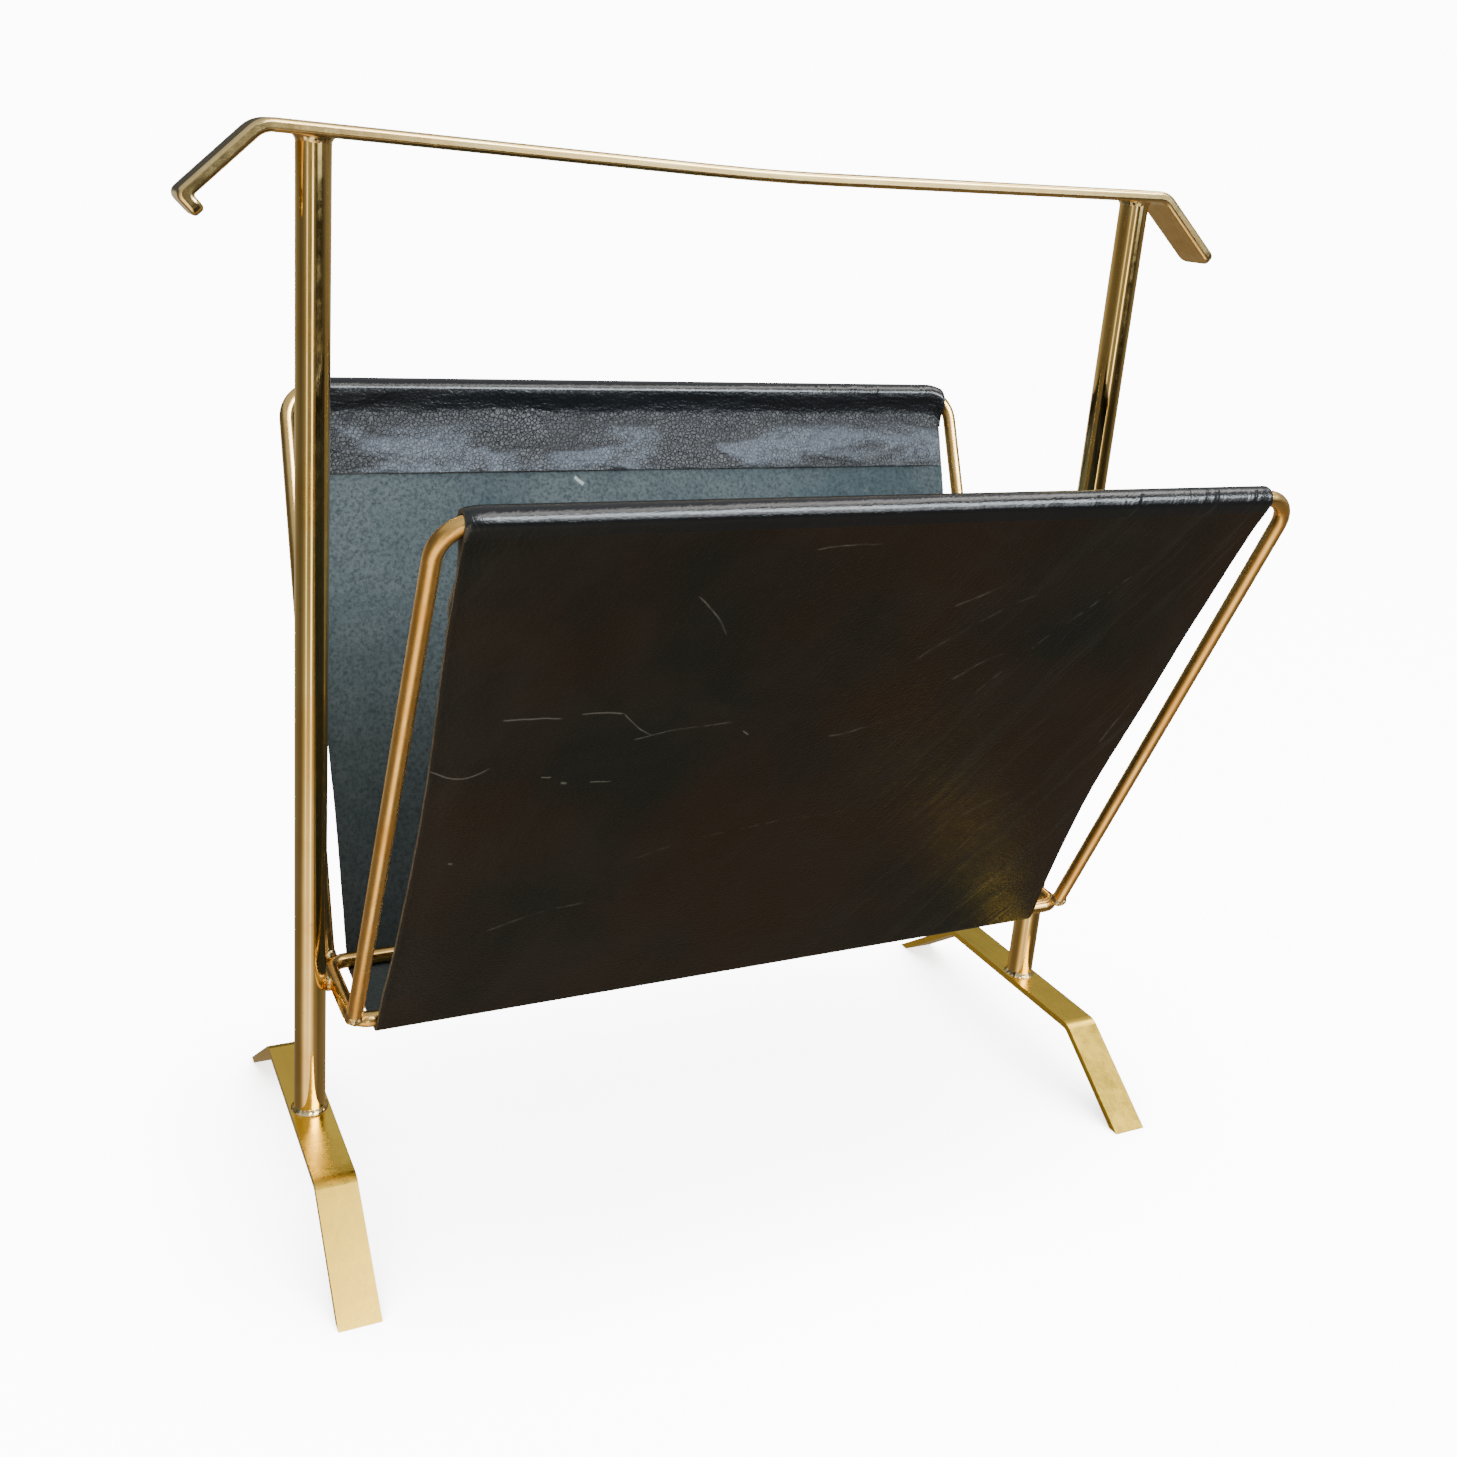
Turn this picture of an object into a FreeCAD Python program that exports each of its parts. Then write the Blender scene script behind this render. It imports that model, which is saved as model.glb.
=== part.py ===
import FreeCAD, Part
import math
import os
import Sketcher

# Magazine rack: two round posts on bent strip feet carry a bent strip handle. A basket of thin
# rod is brazed between the posts: a bottom ring, with an upside-down U frame leaning out at the
# front and another at the back. One leather sling runs over both frames and under the ring.
#
# Millimetres and degrees. +X runs along the handle to the right, -Y is the front, +Z is up. The
# origin is on the floor under the middle of the bottom ring. The posts, the feet and the handle
# stand a little behind it, because the basket is brazed on slightly forward.

Vector = FreeCAD.Vector

SIZES = {
    # posts
    "post_radius": 6.0,
    "post_half_spacing": 172.0,
    "stand_back": 7.2,
    # feet: strips along Y, flat in the middle, with both ends bent down to the floor
    "foot_width": 15.5,
    "foot_thickness": 3.0,
    "foot_height": 31.2,
    "foot_flat_half": 47.6,
    "foot_half_length": 89.5,
    "foot_bend": 5.0,
    # handle: a strip along X with its ends bent down, dipping slightly at mid span
    "handle_width": 18.0,
    "handle_thickness": 4.6,
    "handle_height": 402.7,
    "handle_flat_half": 186.8,
    "handle_shift": -3.7,
    "handle_dip": 4.2,
    "handle_dip_bend": 1200.0,
    "handle_left_reach": 26.8,
    "handle_left_drop": 25.5,
    "handle_right_reach": 31.0,
    "handle_right_drop": 26.0,
    "handle_bend": 7.0,
    "handle_corner": 4.0,
    "handle_lip": 5.6,
    "handle_edge": 1.5,
    "lip_bend": 0.8,
    # basket of round rod
    "rod_radius": 3.0,
    "basket_half_length": 162.0,
    "ring_half_width": 22.6,
    "ring_height": 84.4,
    "ring_corner": 7.0,
    "frame_slant": 232.4,
    "frame_corner": 13.0,
    "leg_gap": 4.7,
    "front_lean": 23.7,
    "back_lean": 23.0,
    # leather sling
    "leather_thickness": 1.6,
    "leather_gap": 0.15,
    "leather_half_length": 148.7,
    "leather_shift": -1.0,
    "leather_side_bow": 5.0,
    "hem_depth": 35.5,
    "cement_thickness": 0.25,
    # brazing
    "fillet_reach": 1.6,
    "fillet_height": 2.4,
    "strip_clearance": 0.05,
    "ring_braze_radius": 3.4,
    "frame_braze_radius": 3.7,
}

doc = FreeCAD.newDocument("magazine_rack")
sheet = doc.addObject("Spreadsheet::Sheet", "dim")
for row, (alias, value) in enumerate(SIZES.items(), start=1):
    sheet.set("A%d" % row, alias)
    sheet.set("B%d" % row, str(value))
    sheet.setAlias("B%d" % row, alias)
doc.recompute()


def number(text):
    """The value that an expression has now, in millimetres or degrees."""
    return float(sheet.evalExpression(text))


def point(pair):
    """The sketch point that two expressions describe."""
    return Vector(number(pair[0]), number(pair[1]), 0)


def bind(thing, **expressions):
    """Binds properties to expressions; a double underscore stands for a dot in the name."""
    for name, text in expressions.items():
        thing.setExpression(name.replace("__", "."), text)


def new_body(label):
    """An empty body whose label is also the name of its file."""
    body = doc.addObject("PartDesign::Body", label)
    body.Label = label
    return body


def new_sketch(body, role, name):
    """A sketch on one of its own body's origin planes."""
    plane = [feature for feature in body.Origin.OriginFeatures if feature.Role == role][0]
    sketch = body.newObject("Sketcher::SketchObject", name)
    sketch.AttachmentSupport = [(plane, "")]
    sketch.MapMode = "FlatFace"
    return sketch


def add_dimension(sketch, kind, where, value, text):
    """Adds a dimension to a sketch and binds it, unless it is a plain zero."""
    index = sketch.addConstraint(Sketcher.Constraint(kind, *where, value))
    if text != "0":
        name = "%s_%d" % (kind.lower(), index)
        sketch.renameConstraint(index, name)
        sketch.setExpression("Constraints." + name, text)


def pin_point(sketch, geometry, end, pair):
    """Places one end of a sketch line at a pair of expressions from the sketch's origin."""
    place = point(pair)
    add_dimension(sketch, "DistanceX", (-1, 1, geometry, end), place.x, pair[0])
    add_dimension(sketch, "DistanceY", (-1, 1, geometry, end), place.y, pair[1])


def arc_between(start, end, travel, radius):
    """The short arc that leaves start along travel and ends at end; True if it turns left."""
    chord = end - start
    turns_left = travel.cross(chord).z > 0
    normal = Vector(-chord.y, chord.x, 0).normalize() * (1 if turns_left else -1)
    centre = (start + end) / 2 + normal * math.sqrt(radius ** 2 - chord.Length ** 2 / 4)
    angles = [math.atan2(place.y - centre.y, place.x - centre.x) for place in (start, end)]
    if not turns_left:
        angles.reverse()
    return Part.ArcOfCircle(Part.Circle(centre, Vector(0, 0, 1), radius), *angles), turns_left


def draw(sketch, corners, arcs=None, closed=True):
    """Joins corners, given as pairs of expressions, with lines; arcs maps a link to its radius."""
    arcs = arcs or {}
    places = [point(pair) for pair in corners]
    count = len(places)
    links = count if closed else count - 1
    ends = []
    for link in range(links):
        start = places[link]
        end = places[(link + 1) % count]
        if link in arcs:
            arc, turns_left = arc_between(start, end, start - places[link - 1], number(arcs[link]))
            sketch.addGeometry(arc, False)
            ends.append((1, 2) if turns_left else (2, 1))
        else:
            sketch.addGeometry(Part.LineSegment(start, end), False)
            ends.append((1, 2))
    for link in range(links if closed else links - 1):
        following = (link + 1) % count
        meeting = (link, ends[link][1], following, ends[following][0])
        sketch.addConstraint(Sketcher.Constraint("Coincident", *meeting))
    for corner in range(count):
        if corner < links and corner not in arcs:
            pin_point(sketch, corner, 1, corners[corner])
        else:
            pin_point(sketch, corner - 1, 2, corners[corner])
    for link, radius in arcs.items():
        add_dimension(sketch, "Radius", (link,), number(radius), radius)


def bound_circle(sketch, centre, radius):
    """A circle whose centre and radius are expressions."""
    index = sketch.addGeometry(Part.Circle(point(centre), Vector(0, 0, 1), number(radius)), False)
    pin_point(sketch, index, 3, centre)
    add_dimension(sketch, "Radius", (index,), number(radius), radius)


def pad(body, sketch, name, length):
    """Extrudes a sketch to both sides of its plane."""
    feature = body.newObject("PartDesign::Pad", name)
    feature.Profile = (sketch, [""])
    feature.SideType = "Symmetric"
    bind(feature, Length=length)
    return feature


def pipe(body, name, profile, path):
    """Sweeps a profile sketch along a path sketch."""
    feature = body.newObject("PartDesign::AdditivePipe", name)
    feature.Profile = (profile, [""])
    feature.Spine = (path, [])
    return feature


def edges_at(feature, places):
    """Names of the feature's edges whose midpoints are at the given places."""
    names = []
    for index, edge in enumerate(feature.Shape.Edges, start=1):
        middle = edge.valueAt((edge.FirstParameter + edge.LastParameter) / 2)
        if any(middle.distanceToPoint(place) < 0.01 for place in places):
            names.append("Edge%d" % index)
    if len(names) != len(places):
        raise RuntimeError("%s: %d edges found for %d places" % (feature.Name, len(names), len(places)))
    return names


def round_edges(body, feature, name, places, radius):
    """Fillets the edges at the given places."""
    doc.recompute()
    fillet = body.newObject("PartDesign::Fillet", name)
    fillet.Base = (feature, edges_at(feature, places))
    bind(fillet, Radius=radius)
    return fillet


def under_handle(side):
    """The height of the handle's underside at the inner side of a post."""
    across = "(dim.post_half_spacing - dim.post_radius - %d * dim.handle_shift)" % side
    dip = "dim.handle_dip * (1 - %s / dim.handle_flat_half)" % across
    return "dim.handle_height - dim.handle_thickness - " + dip


def make_post(label, side):
    """A round post standing square on its foot, cut just under the handle."""
    post = doc.addObject("Part::Cylinder", label)
    post.Label = label
    bind(post, Radius="dim.post_radius", Height=under_handle(side) + " - dim.foot_height")
    bind(post, Placement__Base__x="%d * dim.post_half_spacing" % side)
    bind(post, Placement__Base__y="dim.stand_back", Placement__Base__z="dim.foot_height")
    return post


FOOT_SLOPE = "atan(dim.foot_height / (dim.foot_half_length - dim.foot_flat_half))"


def make_foot(label, side):
    """A strip along Y whose two ends are bent down and ground flat on the floor."""
    body = new_body(label)
    inner_bend = "dim.foot_flat_half - dim.foot_thickness * tan(%s / 2)" % FOOT_SLOPE
    inner_end = "dim.foot_half_length - dim.foot_thickness / sin(%s)" % FOOT_SLOPE
    under = "dim.foot_height - dim.foot_thickness"
    half = [("dim.foot_half_length", "0"),
            ("dim.foot_flat_half", "dim.foot_height")]
    inner_half = [(inner_bend, under), (inner_end, "0")]
    mirrored = [("-(%s)" % across, up) for across, up in half]
    inner_mirrored = [("-(%s)" % across, up) for across, up in inner_half]
    sketch = new_sketch(body, "YZ_Plane", label + "_side")
    draw(sketch, half + mirrored[::-1] + inner_mirrored[::-1] + inner_half)
    strip = pad(body, sketch, label + "_strip", "dim.foot_width")
    outer = [Vector(0, sign * number("dim.foot_flat_half"), number("dim.foot_height")) for sign in (-1, 1)]
    inner = [Vector(0, sign * number(inner_bend), number(under)) for sign in (-1, 1)]
    bent = round_edges(body, strip, label + "_inner_bends", inner, "dim.foot_bend")
    round_edges(body, bent, label + "_outer_bends", outer, "dim.foot_bend + dim.foot_thickness")
    bind(body, Placement__Base__x="%d * dim.post_half_spacing" % side)
    bind(body, Placement__Base__y="dim.stand_back")
    return body


GRIP_SLOPE = "atan(dim.handle_dip / dim.handle_flat_half)"


def handle_end(side, reach, drop):
    """The corner points of one bent end: outer bend, outer tip, inner tip and inner bend."""
    slope = "atan(%s / %s)" % (drop, reach)
    spread = "dim.handle_thickness / (1 + cos(%s + %s))" % (slope, GRIP_SLOPE)
    tip_across = "dim.handle_flat_half + %s" % reach
    tip_up = "dim.handle_height - %s" % drop
    corners = [
        ("dim.handle_flat_half", "dim.handle_height"),
        (tip_across, tip_up),
        ("%s - dim.handle_thickness * sin(%s)" % (tip_across, slope),
         "%s - dim.handle_thickness * cos(%s)" % (tip_up, slope)),
        ("dim.handle_flat_half + %s * (sin(%s) - sin(%s))" % (spread, GRIP_SLOPE, slope),
         "dim.handle_height - %s * (cos(%s) + cos(%s))" % (spread, GRIP_SLOPE, slope)),
    ]
    return [("%d * (%s)" % (side, across), up) for across, up in corners]


def make_handle(label):
    """A strip along X: dipped grip, both ends bent down, a small turned-in lip on the left tip."""
    body = new_body(label)
    right = handle_end(1, "dim.handle_right_reach", "dim.handle_right_drop")
    left = handle_end(-1, "dim.handle_left_reach", "dim.handle_left_drop")
    slope = "atan(dim.handle_left_drop / dim.handle_left_reach)"
    lip = ("(%s) + dim.handle_lip * sin(%s)" % (left[2][0], slope),
           "%s - dim.handle_lip * cos(%s)" % (left[2][1], slope))
    lip_back, lip_root = [
        ("(%s) + dim.handle_thickness * cos(%s)" % (across, slope),
         "%s + dim.handle_thickness * sin(%s)" % (up, slope)) for across, up in (lip, left[2])]
    rounded = "dim.handle_dip_bend * sin(%s)" % GRIP_SLOPE
    valley = "dim.handle_height - dim.handle_dip + %s * tan(%s)" % (rounded, GRIP_SLOPE)
    low_valley = valley + " - dim.handle_thickness"
    right_top = [(rounded, valley)] + right
    left_top = left[1::-1] + [("-" + rounded, valley)]
    under = [(rounded, low_valley), ("-" + rounded, low_valley)]
    sketch = new_sketch(body, "XZ_Plane", label + "_side")
    outline = right_top + under + [left[3], lip_root, lip_back, lip] + left_top
    arcs = {len(right_top): "dim.handle_dip_bend", len(outline) - 1: "dim.handle_dip_bend"}
    draw(sketch, outline, arcs)
    strip = pad(body, sketch, label + "_strip", "dim.handle_width")

    def in_space(pair, across=0.0):
        return Vector(number(pair[0]), across, number(pair[1]))

    steps = [("inner_bends", [right[3], left[3]], "dim.handle_bend"),
             ("outer_bends", [right[0], left[0]], "dim.handle_bend + dim.handle_thickness"),
             ("lip_inside", [lip_root], "dim.lip_bend"),
             ("lip_outside", [left[1]], "dim.lip_bend + 0.5 * dim.handle_thickness")]
    for name, corners, radius in steps:
        strip = round_edges(body, strip, label + "_" + name, [in_space(pair) for pair in corners], radius)
    half_width = number("dim.handle_width / 2")
    tip_corners = []
    for first, second in ((right[1], right[2]), (lip, lip_back)):
        for sign in (-1, 1):
            tip_corners.append((in_space(first, sign * half_width) + in_space(second, sign * half_width)) / 2)
    strip = round_edges(body, strip, label + "_tip_corners", tip_corners, "dim.handle_corner")
    doc.recompute()
    sides = ["Face%d" % index for index, face in enumerate(strip.Shape.Faces, start=1)
             if abs(abs(face.CenterOfMass.y) - half_width) < 0.01]
    edges = body.newObject("PartDesign::Fillet", label + "_long_edges")
    edges.Base = (strip, sides)
    bind(edges, Radius="dim.handle_edge")
    bind(body, Placement__Base__x="dim.handle_shift", Placement__Base__y="dim.stand_back")
    return body


def make_ring(label):
    """The basket's bottom: one rod bent to a long rectangle with rounded corners."""
    body = new_body(label)
    far_x = "dim.basket_half_length"
    far_y = "dim.ring_half_width"
    bend_x = "dim.basket_half_length - dim.ring_corner"
    bend_y = "dim.ring_half_width - dim.ring_corner"
    path = new_sketch(body, "XY_Plane", label + "_path")
    corners = [("0", "-" + far_y),
               (bend_x, "-" + far_y), (far_x, "-(%s)" % bend_y),
               (far_x, bend_y), (bend_x, far_y),
               ("-(%s)" % bend_x, far_y), ("-" + far_x, bend_y),
               ("-" + far_x, "-(%s)" % bend_y), ("-(%s)" % bend_x, "-" + far_y)]
    draw(path, corners, dict.fromkeys((1, 3, 5, 7), "dim.ring_corner"))
    profile = new_sketch(body, "YZ_Plane", label + "_section")
    bound_circle(profile, ("-" + far_y, "0"), "dim.rod_radius")
    pipe(body, label + "_rod", profile, path)
    bind(body, Placement__Base__z="dim.ring_height")
    return body


def make_frame(label, side, lean):
    """One rod bent to an upside-down U that leans outwards from the ring."""
    body = new_body(label)
    far_x = "dim.basket_half_length"
    bend_x = "dim.basket_half_length - dim.frame_corner"
    top = "dim.frame_slant - dim.leg_gap"
    bend_z = "dim.frame_slant - dim.leg_gap - dim.frame_corner"
    path = new_sketch(body, "XZ_Plane", label + "_path")
    corners = [("-" + far_x, "0"), ("-" + far_x, bend_z), ("-(%s)" % bend_x, top),
               (bend_x, top), (far_x, bend_z), (far_x, "0")]
    draw(path, corners, dict.fromkeys((1, 3), "dim.frame_corner"), closed=False)
    profile = new_sketch(body, "XY_Plane", label + "_section")
    bound_circle(profile, ("-" + far_x, "0"), "dim.rod_radius")
    pipe(body, label + "_rod", profile, path)
    body.Placement = FreeCAD.Placement(Vector(0, 0, 0), FreeCAD.Rotation(Vector(1, 0, 0), 1))
    bind(body, Placement__Rotation__Angle="%d * %s" % (-side, lean))
    bind(body, Placement__Base__y="%d * (dim.ring_half_width + dim.leg_gap * sin(%s))" % (side, lean))
    bind(body, Placement__Base__z="dim.ring_height + dim.leg_gap * cos(%s)" % lean)
    return body


def slant_point(side, lean, along, outwards="0"):
    """Y and Z of a point, given along a frame's slope from the ring and outwards from it."""
    across = "%d * (dim.ring_half_width + (%s) * sin(%s) + (%s) * cos(%s))" % (
        side, along, lean, outwards, lean)
    up = "dim.ring_height + (%s) * cos(%s) - (%s) * sin(%s)" % (along, lean, outwards, lean)
    return (across, up)


def bottom_corner(side, lean, offset):
    """Where the slanted panel's line and the bottom's line meet, offset from the ring's rod."""
    across = "%d * (dim.ring_half_width + (%s) * (1 - sin(%s)) / cos(%s))" % (side, offset, lean, lean)
    return (across, "dim.ring_height - (%s)" % offset)


INNER_FACE = "dim.rod_radius + dim.leather_gap"
OUTER_FACE = "dim.rod_radius + dim.leather_gap + dim.leather_thickness"
HEM_FACE = "dim.rod_radius + dim.leather_gap - dim.cement_thickness"
HEM_BACK = "dim.rod_radius + dim.leather_gap - dim.cement_thickness - dim.leather_thickness"
HEM_TOP = "dim.frame_slant - dim.rod_radius - dim.leather_gap - dim.leather_thickness / 2"
SIDES = ((-1, "dim.front_lean"), (1, "dim.back_lean"))


def make_sling(label):
    """One sheet of leather: front panel, bottom and back panel, a sleeve and a hem at each end."""
    body = new_body(label)
    length = "2 * dim.leather_half_length"
    front, back = SIDES
    trough = new_sketch(body, "YZ_Plane", label + "_trough")
    draw(trough, [
        slant_point(*front, "dim.frame_slant", OUTER_FACE), bottom_corner(*front, OUTER_FACE),
        bottom_corner(*back, OUTER_FACE), slant_point(*back, "dim.frame_slant", OUTER_FACE),
        slant_point(*back, "dim.frame_slant", INNER_FACE), bottom_corner(*back, INNER_FACE),
        bottom_corner(*front, INNER_FACE), slant_point(*front, "dim.frame_slant", INNER_FACE)])
    sheet_of_leather = pad(body, trough, label + "_panels", length)
    for name, face in (("inner", INNER_FACE), ("outer", OUTER_FACE)):
        corners = [bottom_corner(side, lean, face) for side, lean in SIDES]
        places = [Vector(0, number(across), number(up)) for across, up in corners]
        sheet_of_leather = round_edges(body, sheet_of_leather, "%s_%s_bends" % (label, name), places, face)
    for side, lean in SIDES:
        name = "front" if side < 0 else "back"
        sleeve = new_sketch(body, "YZ_Plane", name + "_sleeve_section")
        middle = slant_point(side, lean, "dim.frame_slant")
        bound_circle(sleeve, middle, OUTER_FACE)
        bound_circle(sleeve, middle, INNER_FACE)
        pad(body, sleeve, name + "_sleeve", length)
        hem = new_sketch(body, "YZ_Plane", name + "_hem_section")
        hem_end = "dim.frame_slant - dim.hem_depth"
        draw(hem, [slant_point(side, lean, along, face) for along, face in (
            (hem_end, HEM_FACE), (hem_end, HEM_BACK), (HEM_TOP, HEM_BACK), (HEM_TOP, HEM_FACE))])
        pad(body, hem, name + "_hem", length)
    height = "dim.frame_slant * cos(dim.front_lean)"
    bow_radius = "((%s / 2) ^ 2 + dim.leather_side_bow ^ 2) / (2 * dim.leather_side_bow)" % height
    for side in (-1, 1):
        name = "left" if side < 0 else "right"
        bow = new_sketch(body, "XZ_Plane", name + "_bow")
        centre = "%d * (dim.leather_half_length - dim.leather_side_bow + %s)" % (side, bow_radius)
        bound_circle(bow, (centre, "dim.ring_height + %s / 2" % height), bow_radius)
        cut = body.newObject("PartDesign::Pocket", name + "_bowed_side")
        cut.Profile = (bow, [""])
        cut.SideType = "Symmetric"
        bind(cut, Length="4 * dim.frame_slant")
    bind(body, Placement__Base__x="dim.leather_shift")
    return body


def make_cement(label, side, lean):
    """The film of contact cement between a hem and the panel behind it."""
    body = new_body(label)
    hem_end = "dim.frame_slant - dim.hem_depth"
    film_top = HEM_TOP + " - dim.leather_thickness"
    section = new_sketch(body, "YZ_Plane", label + "_section")
    draw(section, [slant_point(side, lean, along, face) for along, face in (
        (hem_end, INNER_FACE), (hem_end, HEM_FACE), (film_top, HEM_FACE), (film_top, INNER_FACE))])
    length = "2 * (dim.leather_half_length - dim.leather_side_bow)"
    pad(body, section, label + "_film", length)
    bind(body, Placement__Base__x="dim.leather_shift")
    return body


def cut_by(label, base, tools):
    """The base shape with its neighbours' shapes taken away."""
    tool = tools[0]
    if len(tools) > 1:
        tool = doc.addObject("Part::MultiFuse", label + "_neighbours")
        tool.Shapes = tools
    cut = doc.addObject("Part::Cut", label)
    cut.Label = label
    cut.Base = base
    cut.Tool = tool
    return cut


def make_collar_braze(label, side, upper, post):
    """A cone-shaped fillet of braze round a post where it meets a strip."""
    cone = doc.addObject("Part::Cone", label + "_blank")
    wide = "dim.post_radius + dim.fillet_reach"
    narrow = "dim.post_radius + 0.1 * dim.fillet_reach"
    bind(cone, Radius1=narrow if upper else wide, Radius2=wide if upper else narrow)
    bind(cone, Height="dim.fillet_height", Placement__Base__x="%d * dim.post_half_spacing" % side)
    below_handle = under_handle(side) + " - dim.fillet_height - dim.strip_clearance"
    base = below_handle if upper else "dim.foot_height"
    bind(cone, Placement__Base__y="dim.stand_back", Placement__Base__z=base)
    return cut_by(label, cone, [post])


def make_ring_braze(label, side, post, ring):
    """A blob of braze that bridges a post and the end run of the ring; its seam faces the ring."""
    ball = doc.addObject("Part::Sphere", label + "_blank")
    gap = "(dim.post_half_spacing - dim.post_radius - dim.basket_half_length - dim.rod_radius)"
    ball.Placement = FreeCAD.Placement(Vector(), FreeCAD.Rotation(Vector(0, 0, 1), 90 + 90 * side))
    bind(ball, Radius="dim.ring_braze_radius")
    bind(ball, Placement__Base__y="dim.stand_back", Placement__Base__z="dim.ring_height")
    bind(ball, Placement__Base__x="%d * (dim.basket_half_length + dim.rod_radius + %s / 2)" % (side, gap))
    return cut_by(label, ball, [post, ring])


def make_frame_braze(label, end, side, lean, frame, ring):
    """A blob of braze that joins a frame's leg to a corner of the ring."""
    ball = doc.addObject("Part::Sphere", label + "_blank")
    across, up = slant_point(side, lean, "0.72 * dim.leg_gap")
    bind(ball, Radius="dim.frame_braze_radius")
    bind(ball, Placement__Base__x="%d * dim.basket_half_length" % end)
    bind(ball, Placement__Base__y=across, Placement__Base__z=up)
    return cut_by(label, ball, [frame, ring])


def make_all():
    """Every sub-part, in the order it would be put together on a bench."""
    ends = {"left": -1, "right": 1}
    handle = make_handle("handle_strip")
    ring = make_ring("bottom_ring")
    frames = {}
    for name, (side, lean) in zip(("front", "back"), SIDES):
        frames[name] = make_frame(name + "_frame", side, lean)
    pieces = [handle, ring] + list(frames.values())
    for end, sign in ends.items():
        foot = make_foot(end + "_foot", sign)
        post = make_post(end + "_post", sign)
        pieces += [foot, post]
        doc.recompute()
        pieces.append(make_collar_braze(end + "_post_foot_braze", sign, False, post))
        pieces.append(make_collar_braze(end + "_post_handle_braze", sign, True, post))
        pieces.append(make_ring_braze(end + "_post_ring_braze", sign, post, ring))
        for name, (side, lean) in zip(("front", "back"), SIDES):
            label = "%s_%s_frame_braze" % (name, end)
            pieces.append(make_frame_braze(label, sign, side, lean, frames[name], ring))
    pieces.append(make_sling("leather_sling"))
    for name, (side, lean) in zip(("front", "back"), SIDES):
        pieces.append(make_cement(name + "_hem_cement", side, lean))
    doc.recompute()
    return pieces


def check_and_export(pieces):
    """Stops on any failed object or bad shape, then writes one file for each sub-part."""
    for thing in doc.Objects:
        if "Invalid" in thing.State or "Error" in thing.State:
            raise RuntimeError("%s failed: %s" % (thing.Name, thing.State))
    os.makedirs("parts", exist_ok=True)
    for piece in pieces:
        shape = piece.Shape
        if shape.isNull() or not shape.isValid() or not shape.Solids:
            raise RuntimeError("%s has no valid solid" % piece.Label)
        box = shape.BoundBox
        print("%-28s solids %d  volume %10.1f  x %7.1f..%7.1f  y %7.1f..%7.1f  z %6.1f..%6.1f" % (
            piece.Label, len(shape.Solids), shape.Volume, box.XMin, box.XMax, box.YMin, box.YMax,
            box.ZMin, box.ZMax))
        shape.exportStep("parts/%s.step" % piece.Label)


check_and_export(make_all())
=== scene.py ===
import math

import bmesh
import bpy
import numpy as np
from mathutils import Matrix, Vector, noise


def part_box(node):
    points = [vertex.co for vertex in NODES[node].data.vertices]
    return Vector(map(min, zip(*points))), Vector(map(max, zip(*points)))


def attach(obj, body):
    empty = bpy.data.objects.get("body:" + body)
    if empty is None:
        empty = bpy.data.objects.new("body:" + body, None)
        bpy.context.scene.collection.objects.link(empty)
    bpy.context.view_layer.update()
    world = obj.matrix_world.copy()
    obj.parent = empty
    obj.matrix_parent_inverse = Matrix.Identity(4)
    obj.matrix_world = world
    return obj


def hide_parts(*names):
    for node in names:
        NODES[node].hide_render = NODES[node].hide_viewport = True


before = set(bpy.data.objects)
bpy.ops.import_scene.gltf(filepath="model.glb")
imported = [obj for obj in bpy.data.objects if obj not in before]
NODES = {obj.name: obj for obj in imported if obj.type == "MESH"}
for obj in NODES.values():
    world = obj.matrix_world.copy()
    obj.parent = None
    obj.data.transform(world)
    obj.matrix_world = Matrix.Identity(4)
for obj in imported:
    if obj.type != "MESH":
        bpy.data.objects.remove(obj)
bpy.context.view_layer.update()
MM = 0.001

# Sizes in metres, the same as in the CAD model: the basket, the leather and the stand.
ROD_RADIUS = 3.0 * MM
RING_Y = 22.6 * MM
RING_Z = 84.4 * MM
SLANT = 232.4 * MM
FRONT_LEAN = math.radians(23.7)
BACK_LEAN = math.radians(23.0)
CORNER_RADIUS = 13.0 * MM
CORNER_START = 149.0 * MM
LEATHER_GAP = 0.15 * MM
LEATHER_THICKNESS = 1.6 * MM
ROD_TO_MIDDLE = ROD_RADIUS + LEATHER_GAP + LEATHER_THICKNESS / 2
HEM_DEPTH = 35.5 * MM
POST_RADIUS = 6.0 * MM
GRIP_SLOPE = 4.2 / 186.8


# ---------------------------------------------------------------- shader helpers

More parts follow.
